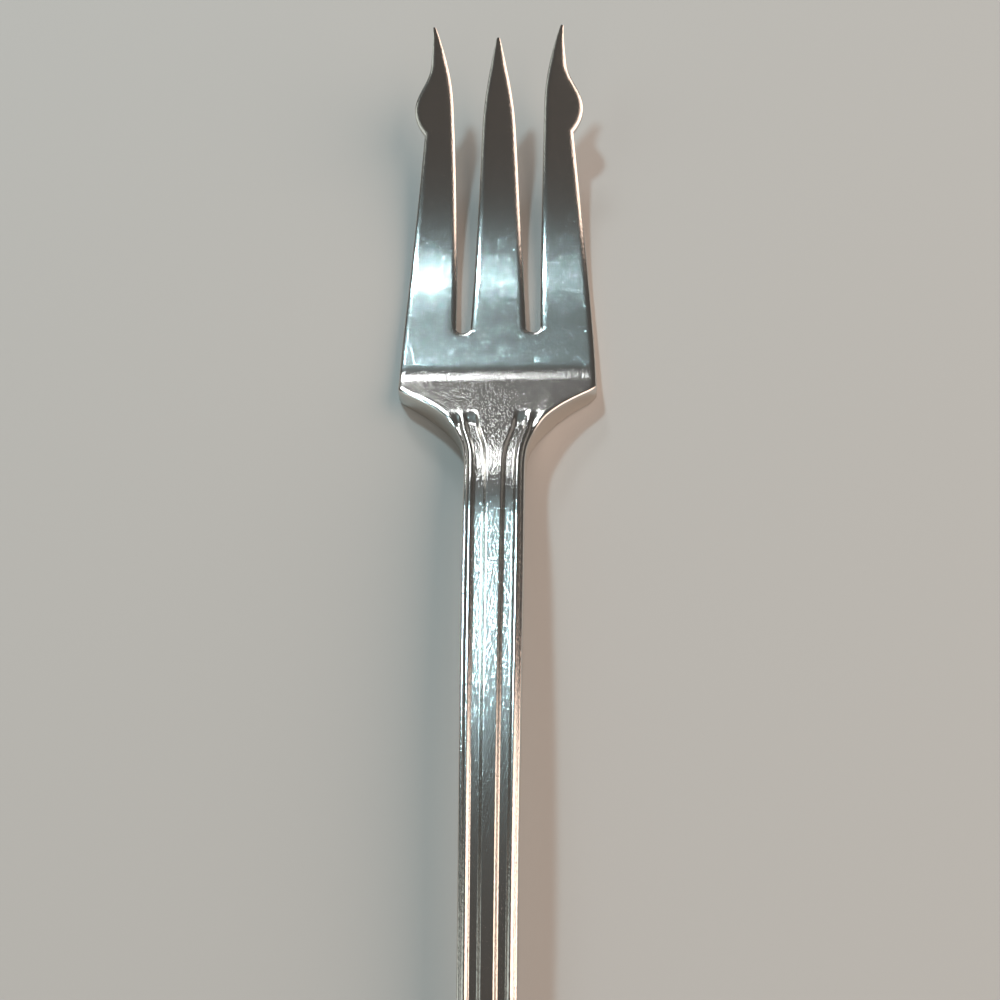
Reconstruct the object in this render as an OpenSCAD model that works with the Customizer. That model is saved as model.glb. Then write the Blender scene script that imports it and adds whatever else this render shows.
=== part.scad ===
// Cocktail fork: three tines with barbed outer points, a flat palm with square shoulders and a
// slim stem whose raised centre panel runs between two threads.
// It lies as it rests on a table. +Y runs to the points, +Z is up, and the origin is on the table
// under the middle of its length and width. All sizes are millimetres.
// The fork is one forging. Its regions are drawn one by one and meet on flat cross sections.

/* [Overall] */
// Length from the handle end to the outer points
total_length = 150; // [140:1:165]

/* [Tines] */
// Length of the outer tines, from the ends of the slots to the points
tine_length = 28; // [24:0.5:32]
// How much shorter the middle tine is
middle_tine_short = 0.9; // [0:0.1:2]
// Width of each slot where it ends
slot_width = 1.15; // [0.9:0.05:1.4]
// Distance from the centre line to the middle of each slot
slot_offset = 2.88; // [2.6:0.02:3.2]
// How far each slot opens towards an outer tine before the point begins
slot_spread = 0.4; // [0.1:0.05:0.8]
// Half width of the middle tine just before it narrows to its point
middle_tine_half = 1.47; // [1.2:0.05:1.8]
// Distance from the centre line to each outer point
point_offset = 5.5; // [5:0.1:6]
// Length over which the inner edge of an outer tine sweeps across to its point
point_length = 6.5; // [5:0.5:8]
// Length over which the middle tine narrows to its point
middle_point_length = 8; // [6:0.5:10]
// Width of the blunt end of each point
point_width = 0.24; // [0.15:0.01:0.4]

/* [Barbs] */
// How far each barb stands out from the edge of its tine
barb_depth = 1.05; // [0.5:0.05:1.3]
// Distance from the outer points back to the tops of the barbs
barb_setback = 6.5; // [5.5:0.1:8]
// Length of the rounded side of a barb that faces the handle
barb_back = 2.25; // [1.5:0.05:3]
// Length of the long sloping side of a barb that faces the point
barb_front = 3.45; // [2.5:0.05:4.5]

/* [Palm and neck] */
// Width of the head at its shoulders
head_width = 16; // [14:0.5:18]
// Length from the shoulders to the ends of the slots
palm_length = 6.35; // [5:0.05:9]
// Rounding of the shoulder corners
shoulder_round = 0.9; // [0.4:0.1:1.4]
// Length over which the head narrows to the stem
neck_length = 10.25; // [8:0.25:14]
// Half width that the threads spread to where they fade out under the palm
thread_spread = 3.35; // [2.9:0.05:3.8]
// Distance from the shoulders back to the place where the threads begin
thread_start = 2.4; // [1.6:0.1:3.5]

/* [Stem and handle end] */
// Width of the stem where the neck ends
stem_width = 4.75; // [4:0.05:5.5]
// Width of the stem at its waist
waist_width = 4.15; // [3.6:0.05:4.6]
// Distance from the handle end to the waist
waist_distance = 58; // [50:1:70]
// Greatest width of the handle end
handle_width = 10; // [8:0.25:12]
// Length of the handle end, as far as the plain stem
handle_length = 40; // [30:1:48]
// Length of the rounding at the very end of the handle
end_round = 6; // [4:0.5:8]

/* [Threads] */
// Width of each raised thread along the edges
thread_width = 0.7; // [0.5:0.05:0.9]
// Width of the hollow between a thread and the centre panel
hollow_width = 0.58; // [0.4:0.02:0.7]
// Width of the step from the hollow up to the centre panel
step_width = 0.35; // [0.25:0.05:0.5]
// Depth of the hollows below the centre panel
hollow_depth = 0.28; // [0.1:0.01:0.4]
// Depth of the tops of the threads below the centre panel
thread_drop = 0.08; // [0:0.01:0.15]

/* [Thickness] */
// Thickness of the tines at the lowest place of the bowl
root_thickness = 1.05; // [0.8:0.05:1.4]
// Thickness of the tines at their points
point_thickness = 0.55; // [0.4:0.05:0.7]
// Thickness of the palm at the foot of the neck
palm_thickness = 1.38; // [1.2:0.02:1.8]
// Thickness of the stem where the neck ends
neck_thickness = 2.7; // [2.2:0.1:3.2]
// Thickness of the stem at the top of its arch
stem_thickness = 2.4; // [2:0.1:2.8]
// Thickness of the handle end
end_thickness = 1.7; // [1.3:0.1:2.2]

/* [Side view] */
// Rise of the outer points above the lowest place of the bowl
point_rise = 6.5; // [4:0.25:9]
// Distance from the ends of the slots to the lowest place of the bowl
bowl_distance = 3.4; // [2:0.2:6]
// Height of the top of the stem above the table where the neck ends
neck_height = 5.25; // [4:0.25:7]
// Height above the table at which the two slopes of the arch would meet
arch_height = 7; // [6:0.25:9]
// Distance from the neck back to the top of the arch
arch_distance = 30; // [20:1:40]
// Distance from the handle end to the place where its flat underside turns up into the arch
flat_length = 12; // [8:1:20]

/* [Hidden] */

// Places along the fork, from the points back to the handle end
tip_y = total_length / 2;
slot_y = tip_y - tine_length;
bowl_y = slot_y + bowl_distance;
shoulder_y = slot_y - palm_length;
palm_y = shoulder_y - shoulder_round;
thread_y = shoulder_y - thread_start;
neck_y = shoulder_y - neck_length;
arch_y = neck_y - arch_distance;
end_y = -total_length / 2;
handle_y = end_y + handle_length;
waist_y = end_y + waist_distance;
flat_y = end_y + flat_length;
barb_y = tip_y - barb_setback;
notch_y = barb_y - barb_back;
barb_end_y = barb_y + barb_front;

// The foot of the neck lies a little in front of the shoulders, and its heel a little behind
foot_ahead = 1.95;
heel_behind = 3.45;
foot_y = shoulder_y + foot_ahead;
heel_y = shoulder_y - heel_behind;

// Powers of the curves of the outline
side_power = 1.4;
flare_power = 3.2;
spread_power = 1.5;
point_power = 2.2;
handle_power = 2.2;

// Half the length of each bend of the side view
flat_bend = 5;
arch_bend = 16;
neck_bend = 4;
foot_bend = 1;
heel_bend = 1.5;
bowl_bend = 2.5;
foot_end_y = foot_y + foot_bend;

// Side view: each row is a place along the fork, a height, and half the length of the bend there
top_bends = [
    [end_y, end_thickness, 0],
    [flat_y, end_thickness, flat_bend],
    [arch_y, arch_height, arch_bend],
    [neck_y, neck_height, neck_bend],
    [foot_y, palm_thickness, foot_bend],
    [bowl_y, root_thickness, bowl_bend],
    [tip_y, root_thickness, 0],
];
bottom_bends = [
    [end_y, 0, 0],
    [flat_y, 0, flat_bend],
    [arch_y, arch_height - stem_thickness, arch_bend],
    [neck_y, neck_height - neck_thickness, neck_bend],
    [heel_y, 0, heel_bend],
    [tip_y, 0, 0],
];

// Rounding of the long edges: how far in from the side, and how far down or up
stem_edge = [0.22, 0.3];
blade_edge = [0.5, 0.2];
stem_back = [0.9, 0.8];
blade_back = [0.35, 0.3];
edge_steps = 3;
// Half widths and tine width below which the roundings shrink with the section
edge_fit = 1.2;
back_fit = 1.8;
tine_fit = 1.4;
// Smallest share of the rounding at the very end of a slot, and slot widths until it is whole
sharp_share = 0.04;
slot_fade = 1.5;

// Half width for which the threads have their full width; a narrower stem has narrower threads
full_threads = 2.1;
// The end of the handle is cut just before its rounding would close
end_cut = 0.985;
// Length over which the threads rise out of the neck, and width over which the dip beside them ends
thread_fade = 1.8;
dip_fade = 1;
// Rounding of the place where the threads leave the edges of the neck
thread_blend = 0.2;
// Share of the width left for the marks of the threads where they close round the handle end
mark_share = 0.9;
// Places between the outer thread and the edge at which the neck and palm are drawn
shoulder_marks = [0.3, 0.6, 0.85];
// Keeps a length from being divided by zero
tiny = 0.001;

function clamp(v, low, high) = min(high, max(low, v));
function smooth(t) = let (c = clamp(t, 0, 1)) c * c * (3 - 2 * c);
function mix(a, b, t) = a + (b - a) * t;
function span(a, b, n) = [for (i = [0 : n - 1]) mix(a, b, i / n)];

// The smaller of two values, with the corner between them rounded over r
function soft_min(a, b, r) = min(a, b) - pow(max(r - abs(a - b), 0), 2) / (4 * r);

// A straight slope that starts at zero, with a parabolic bend of half length r
function ease(v, r) = v <= -r ? 0 : v >= r ? v : pow(v + r, 2) / (4 * r);

function bend_slope(bends, i) = (bends[i + 1][1] - bends[i][1]) / (bends[i + 1][0] - bends[i][0]);

// Height at y of a line of straight slopes joined by parabolic bends
function bent(bends, y) = bends[0][1] + bend_slope(bends, 0) * (y - bends[0][0])
    + sum([for (i = [1 : len(bends) - 2])
        (bend_slope(bends, i) - bend_slope(bends, i - 1)) * ease(y - bends[i][0], bends[i][2])]);
function sum(v, i = 0) = i >= len(v) ? 0 : v[i] + sum(v, i + 1);

// The tines rise from the bowl along a parabola, and grow thinner on their undersides
function along_tine(y) = clamp((y - bowl_y) / (tip_y - bowl_y), 0, 1);
function rise(y) = point_rise * pow(along_tine(y), 2);
function top(y) = bent(top_bends, y) + rise(y);
function thinning(y) = (root_thickness - point_thickness) * along_tine(y);
function bottom(y) = max(0, bent(bottom_bends, y)) + rise(y) + thinning(y);

// Half width of the stem and handle, without the rounding of the end
function bare_half(y) = y > waist_y
    ? mix(waist_width, stem_width, smooth((y - waist_y) / (neck_y - waist_y))) / 2
    : mix(waist_width, handle_width,
        pow(clamp((waist_y - y) / (waist_y - round_y), 0, 1), handle_power)) / 2;
round_y = end_y + end_round;
function end_part(y) = end_cut * max(0, round_y - y) / end_round;
function stem_half(y) = bare_half(y) * sqrt(1 - pow(end_part(y), 2));

// Outer edge of the head: it is widest at the shoulders and draws in to the outer points
function side_half(y) = mix(head_width / 2, point_offset,
    pow(clamp((y - shoulder_y) / (tip_y - shoulder_y), 0, 1), side_power));
// The neck flares from the stem out to the shoulders
function flare_half(y) = stem_half(min(y, neck_y)) + (head_width - stem_width) / 2
    * pow(max(0, (y - neck_y) / (shoulder_y - neck_y)), flare_power);
function half(y) = y <= neck_y ? stem_half(y) : soft_min(side_half(y), flare_half(y), shoulder_round);

// Barbs: a rounded back, then a long front slope that runs out towards the point
function barb(y) = barb_depth * (y <= notch_y || y >= barb_end_y ? 0
    : y < barb_y ? 1 - pow((barb_y - y) / barb_back, 2)
    : pow(cos(90 * (y - barb_y) / barb_front), 2));

// The slots end in half rounds
function slot_part(y) = let (d = clamp(2 * (y - slot_y) / slot_width, 0, 1))
    slot_width / 2 * sqrt(1 - pow(1 - d, 2));
function to_point(y, tip, length) = pow(clamp((y - tip + length) / length, 0, 1), point_power);

function outer_edge(y) = mix(side_half(y) + barb(y), point_offset + point_width / 2,
    pow(clamp((y - barb_end_y) / (tip_y - barb_end_y), 0, 1), 2));
function inner_base(y) = slot_offset + slot_part(y)
    + slot_spread * pow((y - slot_y) / (tip_y - point_length - slot_y), 2);
function inner_edge(y) = mix(inner_base(y), point_offset - point_width / 2,
    to_point(y, tip_y, point_length));

middle_tip_y = tip_y - middle_tine_short;
middle_point_y = middle_tip_y - middle_point_length;
function middle_base(y) = slot_offset - slot_part(y)
    - (slot_offset - slot_width / 2 - middle_tine_half) * (y - slot_y) / (middle_point_y - slot_y);
function middle_half(y) = mix(middle_base(y), point_width / 2,
    to_point(y, middle_tip_y, middle_point_length));

// Distance in from the outline, which follows the rounding round the end of the handle
function inset(x, y) = y >= round_y ? bare_half(y) - abs(x)
    : let (b = bare_half(y), a = end_round / end_cut, s = round_y - y,
        r = max(tiny, norm([x / b, s / a])))
        (1 - r) * r / norm([x / b / b, s / a / a]);

// Half width between the outer edges of the threads
function thread_half(y) = y <= neck_y ? stem_half(y)
    : soft_min(half(y), mix(stem_width / 2 + thread_blend, thread_spread,
        pow(clamp((y - neck_y) / (thread_y - neck_y), 0, 2), spread_power)), thread_blend);
function thread_scale(y) = min(1, (bare_half(min(y, neck_y)) - stem_edge[0]) / full_threads);
function thread_strength(y) = smooth((thread_y - y) / thread_fade);

// Depth of the threads and hollows below the panel, at a distance d in from their outer edge
function thread_depth(d) = d <= 0 ? hollow_depth * (1 - smooth(-d / dip_fade))
    : d < thread_width ? mix(hollow_depth, thread_drop, sin(180 * d / thread_width))
    : d < thread_width + hollow_width ? hollow_depth
    : hollow_depth * (1 - smooth((d - thread_width - hollow_width) / step_width));
function relief(x, y) = let (d = y <= neck_y ? inset(x, y) : thread_half(y) - abs(x))
    y >= thread_y ? 0
    : thread_strength(y) * thread_depth((d - stem_edge[0]) / thread_scale(y));

// Distances in from the outer edge at which the threads are drawn
thread_marks = concat(
    [for (i = [1 : 6]) thread_width * i / 6],
    [for (i = [1 : 2]) thread_width + hollow_width * i / 2],
    [for (i = [1 : 4]) thread_width + hollow_width + step_width * i / 4]);

// Place across the fork of each mark; past the end of a curve the marks share what width is left
function mark_x(y, i) = let (
        d = stem_edge[0] + thread_marks[i] * thread_scale(y),
        share = mark_share * (1 - (i + 1) / (len(thread_marks) + 1)),
        s = max(0, round_y - y),
        a = end_round / end_cut - d,
        whole = y <= neck_y ? bare_half(y) - d : thread_half(y) - d,
        x = s >= a ? 0 : whole * sqrt(1 - pow(s / a, 2)))
    max(x, share * (stem_half(min(y, neck_y)) - stem_edge[0]));

// Quarter-round corner from an upright side to a flat face, as a fan of points
function corner(x, z, dx, dz, from, to) = [for (i = [0 : edge_steps])
    let (t = mix(from, to, i / edge_steps)) [x + dx * cos(t), z + dz * sin(t)]];

function edge_blend(y) = smooth((y - neck_y) / (palm_y - neck_y));
function top_edge(y) = mix(stem_edge, blade_edge, edge_blend(y));
function back_edge(y) = mix(stem_back, blade_back, edge_blend(y));

// Right half of the cross section at y, from beside the middle of the top round to the back
function half_section(y, shoulders) = let (
        w = half(y), zb = bottom(y),
        e = top_edge(y) * min(1, w / edge_fit), b = back_edge(y) * min(1, w / back_fit),
        side = w - e[0],
        marks = [for (i = [len(thread_marks) - 1 : -1 : 0]) mark_x(y, i)],
        last = mark_x(y, 0),
        across = concat(marks, shoulders ? [for (t = shoulder_marks) mix(last, side, t)] : []))
    concat(
        [for (x = across) [x, top(y) - relief(x, y)]],
        corner(side, top(y) - e[1] - relief(side, y), e[0], e[1], 90, 0),
        corner(w - b[0], zb + b[1], b[0], b[1], 0, -90));

// Whole cross section at y, as points in space that start at the middle of the back
function section(y, shoulders = false) = let (h = half_section(y, shoulders), n = len(h))
    [[0, y, bottom(y)],
     for (i = [n - 1 : -1 : 0]) [-h[i][0], y, h[i][1]],
     [0, y, top(y) - relief(0, y)],
     for (p = h) [p[0], y, p[1]]];

// Cross section of a tine between its left and right edges, with the rounding of each edge
function tine_section(y, left, right, round_left, round_right) = let (
        w = right - left, zt = top(y), zb = bottom(y),
        fit = min(1, w / tine_fit),
        el = blade_edge * round_left * fit, er = blade_edge * round_right * fit,
        bl = blade_back * round_left * fit, br = blade_back * round_right * fit)
    [for (p = concat(
        corner(right - er[0], zt - er[1], er[0], er[1], 90, 0),
        corner(right - br[0], zb + br[1], br[0], br[1], 0, -90),
        corner(left + bl[0], zb + bl[1], bl[0], bl[1], 270, 180),
        corner(left + el[0], zt - el[1], el[0], el[1], 180, 90))) [p[0], y, p[1]]];

// Edges of a slot are sharp at its very end and take their full rounding within its width
function slot_round(y) = max(sharp_share, smooth((y - slot_y) / (slot_fade * slot_width)));

// A closed solid through cross sections that all have the same number of points
module loft(sections) {
    n = len(sections[0]);
    m = len(sections);
    polyhedron(
        points = [for (s = sections) for (p = s) p],
        faces = concat(
            [[for (i = [0 : n - 1]) i]],
            [[for (i = [n : -1 : 1]) (m - 1) * n + i % n]],
            [for (j = [0 : m - 2]) for (i = [0 : n - 1]) let (k = (i + 1) % n)
                each [[j * n + i, (j + 1) * n + i, (j + 1) * n + k],
                      [j * n + i, (j + 1) * n + k, j * n + k]]]),
        convexity = 6);
}

end_stations = [for (i = [0 : 11]) round_y - end_round * cos(90 * i / 12)];
slot_stations = [for (t = [0, 15, 30, 45, 60, 75]) slot_y + slot_width / 2 * (1 - cos(t))];
tine_stations = concat(slot_stations, span(slot_y + slot_width / 2, notch_y, 9));
outer_stations = concat(tine_stations, span(notch_y, barb_y, 6), span(barb_y, barb_end_y, 6),
    span(barb_end_y, tip_y, 5), [tip_y]);
middle_stations = concat(slot_stations, span(slot_y + slot_width / 2, middle_point_y, 9),
    span(middle_point_y, middle_tip_y, 9), [middle_tip_y]);

module handle_end() {
    color("silver")
        loft([for (y = concat(end_stations, span(round_y, handle_y, 10), [handle_y])) section(y)]);
}

module stem() {
    color("silver")
        loft([for (y = concat(span(handle_y, neck_y, 18), [neck_y])) section(y)]);
}

module neck() {
    color("silver")
        loft([for (y = concat(span(neck_y, palm_y, 22), [palm_y])) section(y, true)]);
}

module palm() {
    color("silver")
        loft([for (y = concat(span(palm_y, foot_end_y, 8), span(foot_end_y, slot_y, 4), [slot_y]))
            section(y, true)]);
}

module outer_tine() {
    loft([for (y = outer_stations) tine_section(y, inner_edge(y), outer_edge(y), slot_round(y), 1)]);
}

module tine_left() {
    color("silver")
        mirror([1, 0, 0])
            outer_tine();
}

module tine_middle() {
    color("silver")
        loft([for (y = middle_stations)
            tine_section(y, -middle_half(y), middle_half(y), slot_round(y), slot_round(y))]);
}

module tine_right() {
    color("silver")
        outer_tine();
}

handle_end();
stem();
neck();
palm();
tine_left();
tine_middle();
tine_right();
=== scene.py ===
# %% [markdown]
# # A cocktail fork with a worn silver plate
# The fork lies face up on a pale table. It is one forging, so the whole of it becomes one unbroken
# mesh: a surface that runs from the handle end to the points with no joins for the light to catch
# on. Then it gets its plate, a table to lie on, a camera and a few soft lamps.

# %% Load the frame
import math

import bmesh
import bpy
import numpy as np
from mathutils import Matrix, Vector


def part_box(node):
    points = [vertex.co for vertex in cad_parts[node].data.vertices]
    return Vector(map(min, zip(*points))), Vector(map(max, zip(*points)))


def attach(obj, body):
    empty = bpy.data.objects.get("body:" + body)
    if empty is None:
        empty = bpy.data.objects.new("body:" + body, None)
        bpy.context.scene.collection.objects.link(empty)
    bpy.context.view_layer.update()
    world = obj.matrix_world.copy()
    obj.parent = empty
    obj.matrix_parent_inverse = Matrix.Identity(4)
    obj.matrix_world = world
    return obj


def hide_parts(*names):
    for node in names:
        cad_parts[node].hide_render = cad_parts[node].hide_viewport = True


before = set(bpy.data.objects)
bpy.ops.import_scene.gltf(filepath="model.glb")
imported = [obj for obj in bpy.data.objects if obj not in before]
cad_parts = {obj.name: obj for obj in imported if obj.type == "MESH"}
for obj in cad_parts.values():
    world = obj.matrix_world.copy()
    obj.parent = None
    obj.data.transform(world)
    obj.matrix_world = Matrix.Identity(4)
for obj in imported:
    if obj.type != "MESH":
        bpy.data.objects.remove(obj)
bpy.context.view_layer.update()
print("frame:", sorted(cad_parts))

# %% [markdown]
# ## Places along the fork
# The solids say where each part of the fork begins and ends. Everything here is in millimetres,
# because cutlery is measured in them, and the finished mesh is scaled down to metres once.

# %% Places from the frame
MM = 0.001


def reach(node, axis, side):
    """One face of a solid's box, in millimetres: axis 0, 1 or 2, and side 0 for low or 1 for high."""
    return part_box(node)[side][axis] / MM


end_y = reach("handle_end", 1, 0)
handle_y = reach("stem", 1, 0)
neck_y = reach("neck", 1, 0)
palm_y = reach("palm", 1, 0)
slot_y = reach("palm", 1, 1)
tip_y = reach("tine_right", 1, 1)
middle_tip_y = reach("tine_middle", 1, 1)
handle_width = 2 * reach("handle_end", 0, 1)
print(f"from {end_y:.1f} to {tip_y:.1f} mm, with the slots ending at {slot_y:.2f} mm")

# %% Sizes that a drawing of the fork would give
head_width = 16
shoulder_round = 0.9
shoulder_y = palm_y + shoulder_round
thread_y = shoulder_y - 2.4
foot_y = shoulder_y + 1.95
heel_y = shoulder_y - 3.45
bowl_y = slot_y + 3.4
waist_y = end_y + 58
round_y = end_y + 6
flat_y = end_y + 12
arch_y = neck_y - 30
barb_y = tip_y - 6.5
notch_y = barb_y - 2.25
barb_end_y = barb_y + 3.45
stem_width, waist_width = 4.75, 4.15
slot_width, slot_offset, slot_spread = 1.15, 2.88, 0.4
middle_tine_half, middle_point_length = 1.47, 8
point_offset, point_length, point_width = 5.5, 6.5, 0.24
barb_depth = 1.05
point_rise = 6.5
root_thickness, point_thickness = 1.05, 0.55
palm_thickness, end_thickness = 1.38, 1.7
neck_height, neck_thickness = 5.25, 2.7
arch_height, stem_thickness = 7, 2.4

# %% [markdown]
# ## Helpers for smooth curves
# A forging has no kinks. Straight stretches run into each other through parabolic bends, and
# everything that fades does so along an S-curve.


# %% Curves
def smooth(t):
    """An S-curve from 0 to 1."""
    t = np.clip(t, 0, 1)
    return t * t * (3 - 2 * t)


def mix(a, b, t):
    return a + (b - a) * t


def soft_min(a, b, r):
    """The smaller of two values, with the corner between them rounded over r."""
    return np.minimum(a, b) - np.maximum(r - np.abs(a - b), 0) ** 2 / (4 * r)


def bent(bends, y):
    """Height at y of a line through (place, height, half length of the bend) rows."""
    slopes = [(b[1] - a[1]) / (b[0] - a[0]) for a, b in zip(bends, bends[1:])]
    height = bends[0][1] + slopes[0] * (y - bends[0][0])
    for (place, _, half), before, after in zip(bends[1:], slopes, slopes[1:]):
        v = y - place
        height += (after - before) * (0 if v <= -half else v if v >= half else (v + half) ** 2 / (4 * half))
    return height


# %% [markdown]
# ## The side view
# From the side the fork is a long arch that comes down to the palm and sweeps up to the points.
# The top and the back have a line each, and the metal lies between them.

# %% Top and back
TOP_BENDS = [
    (end_y, end_thickness, 0),
    (flat_y, end_thickness, 5),
    (arch_y, arch_height, 16),
    (neck_y, neck_height, 4),
    (foot_y, palm_thickness, 1),
    (bowl_y, root_thickness, 2.5),
    (tip_y, root_thickness, 0),
]
BACK_BENDS = [
    (end_y, 0, 0),
    (flat_y, 0, 5),
    (arch_y, arch_height - stem_thickness, 16),
    (neck_y, neck_height - neck_thickness, 4),
    (heel_y, 0, 1.5),
    (tip_y, 0, 0),
]


def along_tine(y):
    return min(1, max(0, (y - bowl_y) / (tip_y - bowl_y)))


def top(y):
    return bent(TOP_BENDS, y) + point_rise * along_tine(y) ** 2


def back(y):
    t = along_tine(y)
    return max(0, bent(BACK_BENDS, y)) + point_rise * t**2 + (root_thickness - point_thickness) * t


print(f"the stem's top is {top(neck_y):.2f} mm up at the neck, and the points {top(tip_y):.2f} mm")

# %% [markdown]
# ## The outline from above
# Each function gives a half width, so the fork is a mirror image about its centre line.


# %% Half widths
def bare_half(y):
    """Stem and handle, without the rounding of the handle's end."""
    if y > waist_y:
        return mix(waist_width, stem_width, smooth((y - waist_y) / (neck_y - waist_y))) / 2
    return mix(waist_width, handle_width, min(1, (waist_y - y) / (waist_y - round_y)) ** 2.2) / 2


def stem_half(y):
    return bare_half(y) * math.sqrt(max(0, 1 - (max(0, round_y - y) / (round_y - end_y)) ** 2))


def side_half(y):
    """Outer edge of the head, which draws in towards the outer points."""
    t = min(1, max(0, (y - shoulder_y) / (tip_y - shoulder_y)))
    return mix(head_width / 2, point_offset, t**1.4)


def flare_half(y):
    t = max(0, (y - neck_y) / (shoulder_y - neck_y))
    return stem_half(min(y, neck_y)) + (head_width - stem_width) / 2 * t**3.2


def half(y):
    return stem_half(y) if y <= neck_y else float(soft_min(side_half(y), flare_half(y), shoulder_round))


def barb(y):
    if not notch_y < y < barb_end_y:
        return 0
    if y < barb_y:
        return barb_depth * (1 - ((barb_y - y) / (barb_y - notch_y)) ** 2)
    return barb_depth * math.cos(math.pi / 2 * (y - barb_y) / (barb_end_y - barb_y)) ** 2


def slot_part(y):
    """Half width of a slot in the half round at its end."""
    d = min(1, max(0, 2 * (y - slot_y) / slot_width))
    return slot_width / 2 * math.sqrt(1 - (1 - d) ** 2)


def to_point(y, tip, length):
    return min(1, max(0, (y - tip + length) / length)) ** 2.2


def outer_edge(y):
    t = min(1, max(0, (y - barb_end_y) / (tip_y - barb_end_y)))
    return mix(side_half(y) + barb(y), point_offset + point_width / 2, t**2)


def inner_edge(y):
    opening = slot_spread * ((y - slot_y) / (tip_y - point_length - slot_y)) ** 2
    straight = slot_offset + slot_part(y) + opening
    return mix(straight, point_offset - point_width / 2, to_point(y, tip_y, point_length))


def middle_half(y):
    narrowing = slot_offset - slot_width / 2 - middle_tine_half
    length = middle_tip_y - middle_point_length - slot_y
    straight = slot_offset - slot_part(y) - narrowing * (y - slot_y) / length
    return mix(straight, point_width / 2, to_point(y, middle_tip_y, middle_point_length))


# %% [markdown]
# ## The threads
# A thread is the fine raised line that a die presses along each edge of the stem, with a hollow
# between it and the panel in the middle. A bump map can't give the two edges and the hollow their
# own reflections, so they are pressed into the mesh. The threads follow the outline round the
# handle end, and spread and fade away in the neck.

# %% Thread sizes
thread_width, hollow_width, step_width = 0.7, 0.58, 0.35
hollow_depth, thread_drop = 0.28, 0.08
thread_spread, thread_fade, thread_blend, dip_fade = 3.35, 1.8, 0.2, 1
STEM_EDGE, BLADE_EDGE = (0.22, 0.3), (0.5, 0.2)
STEM_BACK, BLADE_BACK = (0.9, 0.8), (0.35, 0.3)


def inset(x, y):
    """Distance in from the outline, which follows the rounding round the end of the handle."""
    b = bare_half(y)
    if y >= round_y:
        return b - np.abs(x)
    a, s = round_y - end_y, round_y - y
    r = np.maximum(0.001, np.hypot(x / b, s / a))
    return (1 - r) * r / np.hypot(x / b / b, s / a / a)


def thread_half(y):
    """Half width between the outer edges of the two threads."""
    if y <= neck_y:
        return stem_half(y)
    t = min(2, (y - neck_y) / (thread_y - neck_y))
    spread = mix(stem_width / 2 + thread_blend, thread_spread, t**1.5)
    return float(soft_min(half(y), spread, thread_blend))


def thread_depth(d):
    """Depth below the panel, at a distance in from the outer edge of the thread."""
    hollow = thread_width + hollow_width
    outside = hollow_depth * (1 - smooth(-d / dip_fade))
    thread = mix(hollow_depth, thread_drop, np.sin(np.pi * np.clip(d / thread_width, 0, 1)))
    step = hollow_depth * (1 - smooth((d - hollow) / step_width))
    return np.where(d <= 0, outside, np.where(d < thread_width, thread, step))


def relief(x, y):
    if y >= thread_y:
        return np.zeros_like(x)
    d = inset(x, y) if y <= neck_y else thread_half(y) - np.abs(x)
    scale = min(1, (bare_half(min(y, neck_y)) - STEM_EDGE[0]) / 2.1)
    return smooth((thread_y - y) / thread_fade) * thread_depth((d - STEM_EDGE[0]) / scale)


# %% [markdown]
# ## One skin for the whole fork
# Rings of points are drawn across the fork at many places along it, and faces join each ring to
# the next. A ring has the same number of points everywhere behind the slots. Where the slots end,
# it splits into three smaller rings that share its points, so the skin never breaks. Points crowd
# together near the edges of the tines, where the metal rounds over in half a millimetre.

# %% Where the points of a ring lie
TINE_STEPS = 48
steps = np.linspace(0, 1, TINE_STEPS + 1)
TINE_SHARES = mix(steps, (1 - np.cos(np.pi * steps)) / 2, 0.6)


def slope(edge, y, h=0.01):
    return (edge(y + h) - edge(y - h)) / (2 * h)


def across(left, right):
    return left + (right - left) * TINE_SHARES


slot_ring = np.concatenate([
    across(-half(slot_y), -slot_offset),
    across(-slot_offset, slot_offset)[1:],
    across(slot_offset, half(slot_y))[1:],
])
HEAD_SHARES = slot_ring / half(slot_y)
even = np.linspace(-1, 1, len(HEAD_SHARES))
STEM_SHARES = mix(even, np.sin(np.pi / 2 * even), 0.35)
print(len(HEAD_SHARES), "points across the top of a ring")


# %% A ring from its edges
def rounding(d, size):
    """How far a quarter-round edge has dropped at a distance d in from the side."""
    inward, drop = size
    t = 1 - np.clip(d / inward, 0, 1)
    return drop * (1 - np.sqrt(1 - t * t))


WALL_SHARES = np.array([0.2, 0.5, 0.8])


def ring(x, y, d, edge, back_edge):
    """Closed ring: the top from left to right, the right wall, the back, and the left wall."""
    up = top(y) - relief(x, y) - rounding(d, edge)
    down = back(y) + rounding(d, back_edge)
    under = slice(None, None, -2)
    walls = [np.array([[x[i], mix(up[i], down[i], t)] for t in order])
             for i, order in ((-1, WALL_SHARES), (0, WALL_SHARES[::-1]))]
    flat = np.concatenate([
        np.stack([x, up], 1), walls[0], np.stack([x[under], down[under]], 1), walls[1]])
    return np.insert(flat, 1, y, axis=1)


def fitted(size, width, whole):
    return tuple(v * min(1, width / whole) for v in size)


def body_ring(y):
    """Ring through the handle, stem, neck or palm."""
    w = half(y)
    shares = mix(STEM_SHARES, HEAD_SHARES, smooth((y - neck_y) / (palm_y - neck_y)))
    x = shares * w
    d = inset(x, y) if y < round_y else (w - np.abs(x)) / math.hypot(1, slope(half, y))
    if y > palm_y:
        centre = slot_y + slot_width / 2
        d = np.minimum(d, np.hypot(np.abs(x) - slot_offset, y - centre) - slot_width / 2)
    t = smooth((y - neck_y) / (palm_y - neck_y))
    edge = [mix(a, b, t) for a, b in zip(STEM_EDGE, BLADE_EDGE)]
    back_edge = [mix(a, b, t) for a, b in zip(STEM_BACK, BLADE_BACK)]
    return ring(x, y, d, fitted(edge, w, 1.2), fitted(back_edge, w, 1.8))


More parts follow.
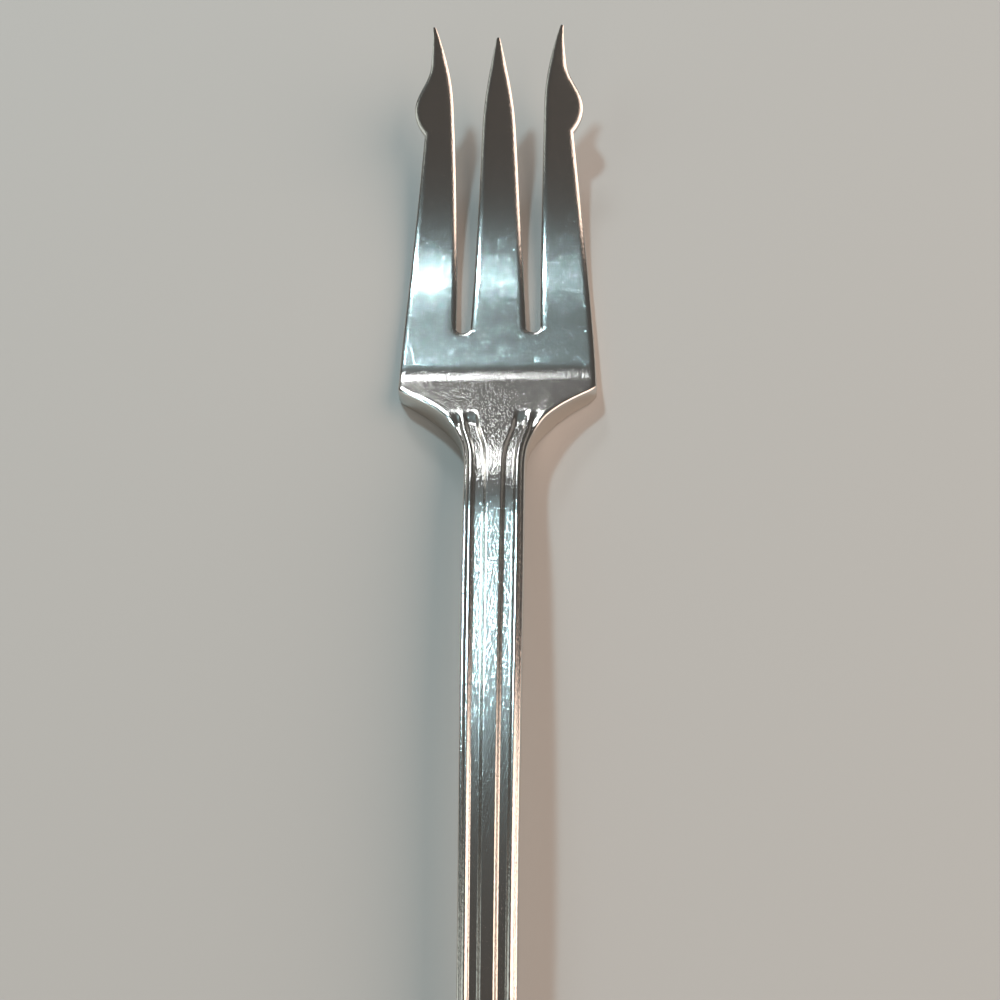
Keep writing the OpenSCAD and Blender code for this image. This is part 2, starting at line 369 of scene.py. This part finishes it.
def tine_ring(y, left_edge, right_edge, tip):
    """Ring through one tine, between two edges that are functions of y."""
    left, right = left_edge(y), right_edge(y)
    close = math.sqrt(max(0, 1 - max(0, (y - tip) / point_width + 1) ** 2))
    middle = (left + right) / 2
    left, right = middle + (left - middle) * close, middle + (right - middle) * close
    x = across(left, right)
    from_left = (x - left) / math.hypot(1, slope(left_edge, max(y, slot_y + 0.02)))
    from_right = (right - x) / math.hypot(1, slope(right_edge, max(y, slot_y + 0.02)))
    d = np.minimum(from_left, from_right)
    w = right - left
    return ring(x, y, d, fitted(BLADE_EDGE, w, 1.4), fitted(BLADE_BACK, w, 1.4))


# %% [markdown]
# ## Where the rings go
# Straight stretches need few rings. The rounding of the handle end, the bend at the foot of the
# neck, the slot ends, the barbs and the points need many.


# %% Stations
def stations(*stretches):
    """Places from (first, last, step) stretches that follow one another, with the last place."""
    found = []
    for first, last, step in stretches:
        count = max(1, round((last - first) / step))
        found.extend(np.linspace(first, last, count, endpoint=False))
    return found + [stretches[-1][1]]


quarter = np.linspace(0, math.pi / 2, 33)
end_places = [round_y - (round_y - end_y) * math.cos(a) for a in quarter[:-1]]
body_places = end_places + stations(
    (round_y, handle_y, 1), (handle_y, neck_y - 4, 1), (neck_y - 4, palm_y, 0.14),
    (palm_y, slot_y - 1.2, 0.16), (slot_y - 1.2, slot_y, 0.06))
slot_places = [slot_y + slot_width / 2 * (1 - math.cos(a)) for a in np.linspace(0, math.pi / 2, 13)[:-1]]
slot_end_y = slot_y + slot_width / 2


def point_places(tip):
    """The last stretch of a tine, rounded over the width of its point."""
    return [tip - point_width * math.cos(a) for a in np.linspace(0, math.pi / 2, 9)]


outer_places = slot_places + stations(
    (slot_end_y, notch_y - 0.5, 0.3), (notch_y - 0.5, tip_y - point_width, 0.1))[:-1] + point_places(tip_y)
middle_places = slot_places + stations(
    (slot_end_y, middle_tip_y - middle_point_length, 0.3),
    (middle_tip_y - middle_point_length, middle_tip_y - point_width, 0.14))[:-1] + point_places(middle_tip_y)
print(len(body_places), "rings behind the slots, and", len(outer_places), "in an outer tine")


# %% Rings into a mesh
def flipped(edge):
    return lambda y: -edge(y)


def skin(mesh, rings):
    """Adds rings of points and the faces between them."""
    rows = [[mesh.verts.new(Vector(p) * MM) for p in points] for points in rings]
    count = len(rows[0])
    for near, far in zip(rows, rows[1:]):
        for i in range(count):
            k = (i + 1) % count
            mesh.faces.new((near[i], far[i], far[k], near[k]))


def lay_brushing(data):
    """A flat map whose first direction runs across the fork, for the direction of the polish."""
    places = np.empty(len(data.vertices) * 3)
    data.vertices.foreach_get("co", places)
    corners = np.empty(len(data.loops), int)
    data.loops.foreach_get("vertex_index", corners)
    layer = data.uv_layers.new(name="brushing")
    layer.uv.foreach_set("vector", (places.reshape(-1, 3)[corners, :2] / (150 * MM) + 0.5).ravel())


def build_fork():
    mesh = bmesh.new()
    skin(mesh, [body_ring(y) for y in body_places])
    outlines = [
        (outer_places, flipped(outer_edge), flipped(inner_edge), tip_y),
        (middle_places, flipped(middle_half), middle_half, middle_tip_y),
        (outer_places, inner_edge, outer_edge, tip_y),
    ]
    for places, left, right, tip in outlines:
        skin(mesh, [tine_ring(y, left, right, tip) for y in places])
    bmesh.ops.remove_doubles(mesh, verts=mesh.verts, dist=0.0005 * MM)
    bmesh.ops.dissolve_degenerate(mesh, edges=mesh.edges, dist=0.0002 * MM)
    bmesh.ops.recalc_face_normals(mesh, faces=mesh.faces)
    open_edges = sum(not e.is_manifold for e in mesh.edges)
    data = bpy.data.meshes.new("fork")
    mesh.to_mesh(data)
    mesh.free()
    data.shade_smooth()
    data.set_sharp_from_angle(angle=math.radians(40))
    lay_brushing(data)
    print(len(data.vertices), "points,", len(data.polygons), "faces,", open_edges, "open edges")
    piece = bpy.data.objects.new("fork", data)
    bpy.context.scene.collection.objects.link(piece)
    return piece


fork = build_fork()

# %% [markdown]
# ## Colours and nodes
# Colours are written as they look on a screen. Blender counts light, so one function turns them
# into amounts of light, and one small helper adds a node with its settings and links.


# %% Helpers for materials
def linear(code):
    """An sRGB hex colour as linear light."""
    parts = [int(code[i:i + 2], 16) / 255 for i in (1, 3, 5)]
    return [p / 12.92 if p <= 0.04045 else ((p + 0.055) / 1.055) ** 2.4 for p in parts] + [1]


def add(tree, kind, links=None, **settings):
    """Adds a node. Settings are its options or plain socket values, and links join its sockets."""
    node = tree.nodes.new(kind)
    for name, value in settings.items():
        if hasattr(node, name):
            setattr(node, name, value)
        else:
            node.inputs[name.replace("_", " ")].default_value = value
    for socket, source in (links or {}).items():
        tree.links.new(source, node.inputs[socket])
    return node


# %% Silver plate
def scratches(tree, place, width, length, turn, seed):
    """Noise drawn out into strokes of a width and a length in millimetres, turned by some degrees."""
    turned = add(tree, "ShaderNodeVectorRotate", {"Vector": place}, rotation_type="Z_AXIS", Angle=math.radians(turn))
    scaled = add(tree, "ShaderNodeVectorMath", {0: turned.outputs["Vector"]}, operation="MULTIPLY")
    scaled.inputs[1].default_value = (1 / width, 1 / length, 1 / width)
    return add(tree, "ShaderNodeTexNoise", {"Vector": scaled.outputs["Vector"]},
               noise_dimensions="4D", W=seed, Scale=1, Detail=2, Roughness=0.6, Distortion=0.4).outputs["Fac"]


def silver_plate():
    material = bpy.data.materials.new("worn_silver_plate")
    material.use_nodes = True
    tree = material.node_tree
    tree.nodes.clear()
    object_place = add(tree, "ShaderNodeTexCoord").outputs["Object"]
    place = add(tree, "ShaderNodeVectorMath", {0: object_place}, operation="SCALE", Scale=1000).outputs["Vector"]
    fine = scratches(tree, place, 0.09, 0.7, 12, 1)
    crossed = scratches(tree, place, 0.1, 0.45, -24, 5)
    both = add(tree, "ShaderNodeMath", {0: fine, 1: crossed}, operation="ADD").outputs["Value"]
    bump = add(tree, "ShaderNodeBump", {"Height": both}, Strength=0.6, Distance=0.00002)
    tangent = add(tree, "ShaderNodeTangent", direction_type="UV_MAP", uv_map="brushing")
    shader = add(tree, "ShaderNodeBsdfPrincipled",
                 {"Normal": bump.outputs["Normal"], "Tangent": tangent.outputs["Tangent"]},
                 Base_Color=linear("#DCD8D2"), Metallic=1, Roughness=0.17, Anisotropic=0.55)
    add(tree, "ShaderNodeOutputMaterial", {"Surface": shader.outputs["BSDF"]})
    return material


fork.data.materials.append(silver_plate())
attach(fork, "root")
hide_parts("handle_end", "stem", "neck", "palm", "tine_left", "tine_middle", "tine_right")

# %% [markdown]
# ## The table
# A sheet of pale grey card, wide enough to fill the picture and to show in the metal.


# %% Table
def card():
    material = bpy.data.materials.new("pale_card")
    material.use_nodes = True
    shader = material.node_tree.nodes["Principled BSDF"]
    shader.inputs["Base Color"].default_value = linear("#BEBEBB")
    shader.inputs["Roughness"].default_value = 0.9
    shader.inputs["Specular IOR Level"].default_value = 0.2
    return material


def build_table(size=1.2):
    data = bpy.data.meshes.new("table")
    r = size / 2
    data.from_pydata([(-r, -r, 0), (r, -r, 0), (r, r, 0), (-r, r, 0)], [], [(0, 1, 2, 3)])
    table = bpy.data.objects.new("table", data)
    bpy.context.scene.collection.objects.link(table)
    table.data.materials.append(card())
    return table


table = build_table()

# %% [markdown]
# ## Camera
# A long lens looks down at the head from behind the handle, about a third of the way from straight
# down to level. The place and the turn were worked out from the outline.

# %% Camera
camera_data = bpy.data.cameras.new("camera")
camera_data.sensor_width = 36
camera_data.lens = 90
camera = bpy.data.objects.new("camera", camera_data)
bpy.context.scene.collection.objects.link(camera)
tilt, yaw, roll = (math.radians(a) for a in (33, 4.253, -4.422))
place = Matrix.Translation(Vector((8.213, -75.66, 165.256)) * MM)
camera.matrix_world = place @ Matrix.Rotation(yaw, 4, "Z") @ Matrix.Rotation(tilt, 4, "X") @ Matrix.Rotation(roll, 4, "Z")
bpy.context.scene.camera = camera

# %% [markdown]
# ## Light
# A bright lamp up and to the left behind the points makes the soft shadow, and large dim panels fill the
# rest of the room for the metal to reflect.


# %% Lamps
def lamp(name, towards, distance, size, watts, colour):
    """An area lamp that shines at the head of the fork from a direction."""
    data = bpy.data.lights.new(name, "AREA")
    data.shape = "RECTANGLE"
    data.size, data.size_y = size
    data.energy = watts
    data.color = colour
    light = bpy.data.objects.new(name, data)
    bpy.context.scene.collection.objects.link(light)
    aim = Vector((0, 0.03, 0.002))
    way = Vector(towards).normalized()
    light.location = aim + way * distance
    light.rotation_euler = way.to_track_quat("Z", "Y").to_euler()
    return light


lamp("key_lamp", (-0.305, 0.572, 0.763), 0.6, (0.055, 0.055), 1.3, (0.60, 0.89, 1.0))
lamp("low_lamp", (-0.25, 0.89, 0.454), 0.7, (0.12, 0.08), 0.8, (0.9, 0.96, 1.0))
lamp("right_panel", (0.8, 0.0, 0.6), 0.8, (0.9, 0.9), 7, (1.0, 0.77, 0.65))
lamp("left_panel", (-0.85, -0.1, 0.5), 0.8, (0.7, 0.7), 1.2, (0.9, 1.0, 0.96))
lamp("front_panel", (0.1, -0.85, 0.5), 0.8, (0.7, 0.7), 1.5, (1.0, 0.85, 0.76))

world = bpy.data.worlds.new("room")
bpy.context.scene.world = world
world.use_nodes = True
world.node_tree.nodes["Background"].inputs["Color"].default_value = (0.07, 0.066, 0.062, 1)
world.node_tree.nodes["Background"].inputs["Strength"].default_value = 1
bpy.context.scene.view_settings.view_transform = "Standard"
